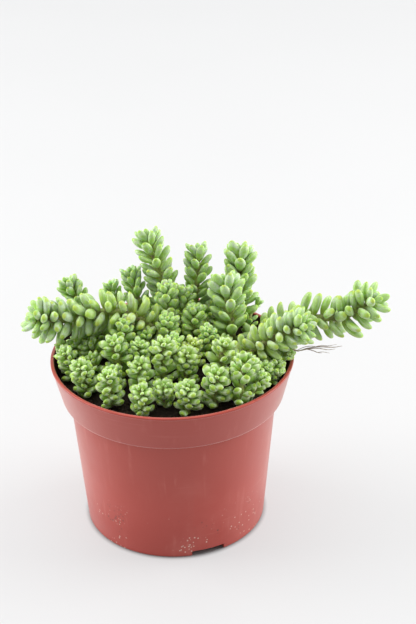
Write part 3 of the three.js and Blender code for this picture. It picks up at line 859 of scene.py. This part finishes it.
def grow(plan, seed, scene, shells):
    """One leafy stem: the round stem and every leaf on it, counted from the tip by the golden angle."""
    draw = Draws(seed)
    points, faces = stem_tube(plan)
    shells.add(points, faces, finish=1)
    shape, sides = plan["form"], scene.leaf_settings.sides
    old, leaf_faces, along_leaf, margin, upper = leaf_form(shape, shape["profile"], sides)
    young = leaf_form(shape, shape.get("young", shape["profile"]), sides)[0]
    count = 0
    while True:
        down = plan["spacing"] * (count - plan["crowded"] * easing(count, plan["crowded"]))
        if down > plan["leafy"]:
            break
        age = down / plan["leafy"]
        wild = plan["wild"]
        size = between(plan["least"], 1, easing(count, plan["small"])) * (0.98 + wild * draw(-0.10, 0.10))
        size *= 1 + plan["skirt"] * age
        lean = radians(plan["lean"]) * easing(count + 0.25, plan["upright"])
        lean = lean + radians(plan["droop"]) * age + radians(wild * draw(-6, 6))
        turn = GOLDEN_ANGLE * count + radians(wild * draw(-9, 9))
        width = plan["width"] * between(1, size, 0.85)
        bend, twist = plan["bend"] * draw(0.2, 1.8), wild * draw(-0.35, 0.35)
        tone, mark = draw(), draw()
        count += 1
        if draw() < plan["lost"] * age:
            continue
        found = find_place(
            plan, plan["route"].length - down, turn, max(lean, 0.03), plan["length"] * size, width, scene)
        if not found:
            continue
        root, direction, along, length, width = found
        flat = along.cross(direction).normalized()
        flat, raised = turned(flat, direction.cross(flat), twist)
        form = between(young, old, min(1.0, count / GROWN_LEAF))
        local = form * (width, width, length)
        local[:, 1] += bend * length * form[:, 2] ** 2
        if shape is KNOB_LEAF:
            yellow = plan["yellow"] * (0.7 + 0.3 * mark)
        else:
            yellow = plan["yellow"] * max(0.0, (age - 0.15) / 0.85) * (0.6 + 0.4 * mark)
        # Painted shade and light: leaves darker towards the stem's foot and lighter on their upper side, over a
        # tone that differs at random.
        tone = between(*plan["tones"], age) + 0.35 * (tone - 0.5) + 0.12 * upper
        shells.add(local @ np.array([flat, raised, direction]) + np.array(root), leaf_faces, along=along_leaf,
                   margin=margin, tone=np.clip(tone, 0, 1), yellow=yellow,
                   bloom=plan["bloom"] * (0.6 + 0.8 * mark) * between(1.1, 0.7, age), tip=0.35 + 0.65 * mark)
    for i, shoot in enumerate(plan.get("side", ())):
        grow(shoot, seed + 100 * (i + 1), scene, shells)


def slot_of(name):
    if not name.startswith("head"):
        return "long_leaves"
    return "yellow_leaves" if name == "head_11" else "head_leaves"


def make_stems(plans, kind, first_seed, scene, marks=LONG_MARKS):
    leaves, stalk = leaf_skin("leaves_" + kind, scene.leaf_settings, marks), stalk_skin(scene.leaf_settings)
    for i, plan in enumerate(plans):
        shells, name = Shells(("along", "margin", "tone", "yellow", "bloom", "tip")), plan["name"]
        grow(plan, first_seed + i, scene, shells)
        place(name + "_leafy", shells.mesh(name + "_leafy"), [leaves, stalk], slot_of(name), name)


# ---- Operators ---------------------------------------------------------------------------------------

class Step:
    """What every step has in common"""

    bl_options = {"REGISTER", "UNDO"}


class MakePot(Step, bpy.types.Operator):
    """Turn the pot with its bead, collar and step, and cut its drainage notches and holes"""

    bl_idname = "potted_plant.make_pot"
    bl_label = "Pot"

    def execute(self, context):
        s = context.scene.pot_settings
        # Under the pot a channel runs between the disc in the middle and the ring that it stands on.
        channel, outer, inner, slope = 3.4 * MM, s.base_radius - 3.5 * MM, 31.5 * MM, 1.2 * MM
        under_lip, floor = s.height - 1.2 * MM, s.wall + 0.1 * MM
        collar_top = s.rim_radius - 0.35 * MM
        corners = [
            (0, 0, 0), (inner - slope, 0, 0.0006), (inner, channel, 0.0006), (outer - slope, channel, 0.0006),
            (outer, 0, 0.0006), (s.base_radius, 0, 0.0012), (s.body_radius, s.ledge_height, 0.0006),
            (s.collar_foot_radius, s.ledge_height, 0.0016), (collar_top, under_lip, 0.0004),
            (s.rim_radius, under_lip + 0.2 * MM, 0.0002), (s.rim_radius, s.height, 0.0006),
            (s.rim_radius - 1.8 * MM, s.height, 0.0006), (collar_top - s.wall, under_lip - 0.8 * MM, 0.0010),
            (s.collar_foot_radius - s.wall, s.ledge_height + s.wall, 0.0010),
            (s.body_radius - s.wall, s.ledge_height + s.wall, 0.0010),
            (s.base_radius - s.wall, channel + floor, 0.0010), (inner + floor, channel + floor, 0.0010),
            (inner - slope + floor, floor, 0.0010), (0, floor, 0),
        ]
        points, faces = lathe(rounded(corners), s.sides)
        shells = Shells(("lip", "inside"))
        heights = np.array(points)[:, 2]
        radii = np.hypot(*np.array(points)[:, :2].T)
        wall_line = np.interp(heights, [0, s.ledge_height, s.ledge_height + 0.1 * MM, s.height],
                              [s.base_radius, s.body_radius, s.collar_foot_radius, s.rim_radius])
        inside = (radii < wall_line - 0.7 * MM) & (heights > 2 * MM) & (heights < s.height - 0.9 * MM)
        # The rim's top face, which the plastic paints a brighter red as painted light.
        lip = np.clip((heights - s.height + 0.5 * MM) / (0.4 * MM), 0, 1)
        shells.add(points, faces, lip=lip, inside=inside)
        piece = place("pot_moulded", shells.mesh("pot_moulded"), [pot_plastic(s)], "pot_plastic", "pot")
        notch_size, drain_radius, drain_circle = (0.0105, 0.017, 0.0064), 0.003, 0.0366
        cutters = []
        for i in range(3):
            turn = radians(-70 + 120 * i)
            cutters.append(notch_block(f"notch_{i}", notch_size, (s.base_radius, 0, 0), turn))
        for i in range(6):
            turn = radians(60 * (i + 0.5))
            at = (drain_circle * cos(turn), drain_circle * sin(turn), channel + floor / 2)
            cutters.append(drain_plug(f"drain_{i}", drain_radius, 4 * floor, at))
        cut(piece, cutters)
        piece.data.set_sharp_from_angle(angle=radians(35))
        return {"FINISHED"}


class MakeSoil(Step, bpy.types.Operator):
    """Fill the pot with lumpy peat and strew it with crumbs"""

    bl_idname = "potted_plant.make_soil"
    bl_label = "Soil"

    def execute(self, context):
        s = context.scene.soil_settings
        pot = context.scene.pot_settings
        edge, rows, gap = 0.0559, 56, 0.35 * MM
        under, over_channel, ledge = 0.0016, 0.0051, 0.0714
        profile = [Vector(at) for at in (
            (0, under), (0.031, under), (0.0323, over_channel), (0.0434, over_channel),
            (pot.body_radius - pot.wall - gap, ledge), (pot.collar_foot_radius - pot.wall - gap, ledge))]
        for at in (edge * k / rows for k in range(rows, -1, -1)):
            profile.append(Vector((at, soil_height(at, 0, s))))
        points, faces = lathe(profile, 168)
        points = np.array(points)
        for i, (x, y, z) in enumerate(points):
            if z > s.edge - 1 * MM:
                points[i, 2] += soil_lumps(x, y)
        shells = Shells(("pale",))
        shells.add(points, faces)
        draw = Draws(77)
        for _ in range(s.crumbs):
            radius, turn = edge * 0.985 * sqrt(draw(0.02, 1.0)), draw(0, 2 * pi)
            x, y = radius * cos(turn), radius * sin(turn)
            size = between(0.35, 1.5, draw() ** 2.2) * MM
            if radius + size > edge:
                continue
            form = bmesh.new()
            bmesh.ops.create_icosphere(form, subdivisions=1, radius=size)
            stretch = Matrix.Diagonal((draw(0.7, 1.3), draw(0.7, 1.3), draw(0.5, 0.9), 1))
            tilt = Matrix.Rotation(draw(0, 6.28), 4, "Z") @ Matrix.Rotation(draw(0, 0.6), 4, "X")
            form.transform(tilt @ stretch)
            for v in form.verts:
                v.co *= draw(0.75, 1.2)
            at = Vector((x, y, soil_height(x, y, s) + soil_lumps(x, y) + size * 0.25))
            points, faces = [v.co + at for v in form.verts], [[v.index for v in f.verts] for f in form.faces]
            shells.add(points, faces, pale=1.0 if draw() < 0.05 else 0.0)
            form.free()
        place("soil_crumbed", shells.mesh("soil_crumbed"), [damp_peat(s)], "potting_soil", "soil")
        return {"FINISHED"}


class MakeTrailingStems(Step, bpy.types.Operator):
    """Grow the three long stems that hang over the rim"""

    bl_idname = "potted_plant.make_trailing_stems"
    bl_label = "Trailing stems"

    def execute(self, context):
        make_stems([stem_plan(plan, TRAILING_HABIT) for plan in TRAILING_STEMS], "trailing", 1, context.scene)
        return {"FINISHED"}


class MakeTallStems(Step, bpy.types.Operator):
    """Grow the four tall upright stems"""

    bl_idname = "potted_plant.make_tall_stems"
    bl_label = "Tall stems"

    def execute(self, context):
        make_stems([stem_plan(plan, TALL_HABIT) for plan in TALL_STEMS], "tall", 11, context.scene)
        return {"FINISHED"}


class MakeShortStems(Step, bpy.types.Operator):
    """Grow the short stems at the back"""

    bl_idname = "potted_plant.make_short_stems"
    bl_label = "Short stems"

    def execute(self, context):
        scene = context.scene
        make_stems([rosette_plan(plan, SHORT_HABIT, scene) for plan in SHORT_STEMS], "short", 21, scene)
        return {"FINISHED"}


class MakeHeads(Step, bpy.types.Operator):
    """Grow the compact heads that fill the pot"""

    bl_idname = "potted_plant.make_heads"
    bl_label = "Compact heads"

    def execute(self, context):
        scene = context.scene
        plump = [rosette_plan(plan, PLUMP_HABIT, scene) for plan in PLUMP_HEADS]
        make_stems([rosette_plan(plan, HEAD_HABIT, scene) for plan in HEADS], "heads", 31, scene, HEAD_MARKS)
        make_stems(plump, "plump", 71, scene, PLUMP_MARKS)
        return {"FINISHED"}


class MakeRootlet(Step, bpy.types.Operator):
    """Draw the dry forked rootlet under the front trailing stem"""

    bl_idname = "potted_plant.make_rootlet"
    bl_label = "Dry rootlet"

    def execute(self, context):
        shells = Shells()
        for thick, points in ROOTLET_BRANCHES:
            plan = dict(route=Route([Vector(p) * MM for p in points]), stem=thick * MM)
            shells.add(*stem_tube(plan, sides=6))
        place("dry_rootlet_fine", shells.mesh("dry_rootlet_fine"), [dry_root(context.scene.leaf_settings)],
              "dry_root", "dry_rootlet")
        return {"FINISHED"}


class MakeStage(Step, bpy.types.Operator):
    """Lay the pale floor, hang the soft lights and set the camera"""

    bl_idname = "potted_plant.make_stage"
    bl_label = "Stage"

    def execute(self, context):
        scene = context.scene
        s = scene.stage_settings
        form = bmesh.new()
        bmesh.ops.create_grid(form, x_segments=8, y_segments=8, size=3.0)
        form.transform(Matrix.Translation((0, 0, -0.00005)))
        floor = linked("stage_floor", mesh_of("stage_floor", form))
        floor.data.materials.append(pale_floor(s))

        scene.world = soft_room(s)
        for name, at, aim, size, power in (
            ("top_light", (-0.30, 0.25, 1.6), (0, 0.15, 0), 2.0, s.top),
            ("left_light", (-1.0, 0.20, 0.45), (0, 0, 0.06), 0.8, s.left),
            ("right_light", (1.0, 0.20, 0.45), (0, 0, 0.06), 0.8, s.right),
        ):
            light = bpy.data.lights.new(name, "AREA")
            light.shape, light.size, light.energy = "SQUARE", size, power
            lamp = linked(name, light)
            lamp.location = at
            lamp.rotation_euler = (Vector(aim) - Vector(at)).to_track_quat("-Z", "Y").to_euler()

        lens = bpy.data.cameras.new("camera")
        lens.lens, lens.sensor_width, lens.sensor_fit = s.lens, 36.0, "AUTO"
        lens.clip_start, lens.clip_end = 0.05, 20.0
        camera = linked("camera", lens)
        # The photo's view: how high it looks down from, and how far it is turned off the pot's axis.
        rise, yaw, pitch, roll = (radians(a) for a in (29.9, 1.219, 1.361, -1.586))
        aim, distance = Vector((0, 0, 0.09016)), 0.85476
        at = aim + distance * Vector((0, -cos(rise), sin(rise)))
        ahead, right = Vector((0, cos(rise), -sin(rise))), Vector((1, 0, 0))
        up = right.cross(ahead)
        ahead, right = turned(ahead, right, yaw)
        ahead, up = turned(ahead, up, pitch)
        right, up = turned(right, up, roll)
        camera.matrix_world = Matrix.Translation(at) @ Matrix((right, up, -ahead)).transposed().to_4x4()
        scene.camera = camera
        scene.view_settings.view_transform = "Standard"
        return {"FINISHED"}


OPERATORS = (
    MakeStage, MakePot, MakeSoil, MakeTrailingStems, MakeTallStems, MakeShortStems, MakeHeads, MakeRootlet,
)


class PottedPlantPanel(bpy.types.Panel):
    """The sidebar panel that lists every step"""

    bl_idname = "VIEW3D_PT_potted_plant"
    bl_label = "Potted burro's tail"
    bl_space_type = "VIEW_3D"
    bl_region_type = "UI"
    bl_category = "Potted plant"

    def draw(self, context):
        for operator in OPERATORS:
            self.layout.operator(operator.bl_idname)
        for name in SETTINGS:
            box = self.layout.box()
            group = getattr(context.scene, name)
            for key in group.__annotations__:
                box.prop(group, key)


SETTINGS = {
    "pot_settings": PotSettings,
    "soil_settings": SoilSettings,
    "leaf_settings": LeafSettings,
    "stage_settings": StageSettings,
}


def register():
    for item in (*SETTINGS.values(), *OPERATORS, PottedPlantPanel):
        bpy.utils.register_class(item)
    for name, group in SETTINGS.items():
        setattr(bpy.types.Scene, name, PointerProperty(type=group))


def unregister():
    for name in SETTINGS:
        delattr(bpy.types.Scene, name)
    for item in reversed((*SETTINGS.values(), *OPERATORS, PottedPlantPanel)):
        bpy.utils.unregister_class(item)


def main():
    register()
    for operator in OPERATORS:
        group, step = operator.bl_idname.split(".")
        getattr(getattr(bpy.ops, group), step)()


if __name__ == "__main__":
    main()
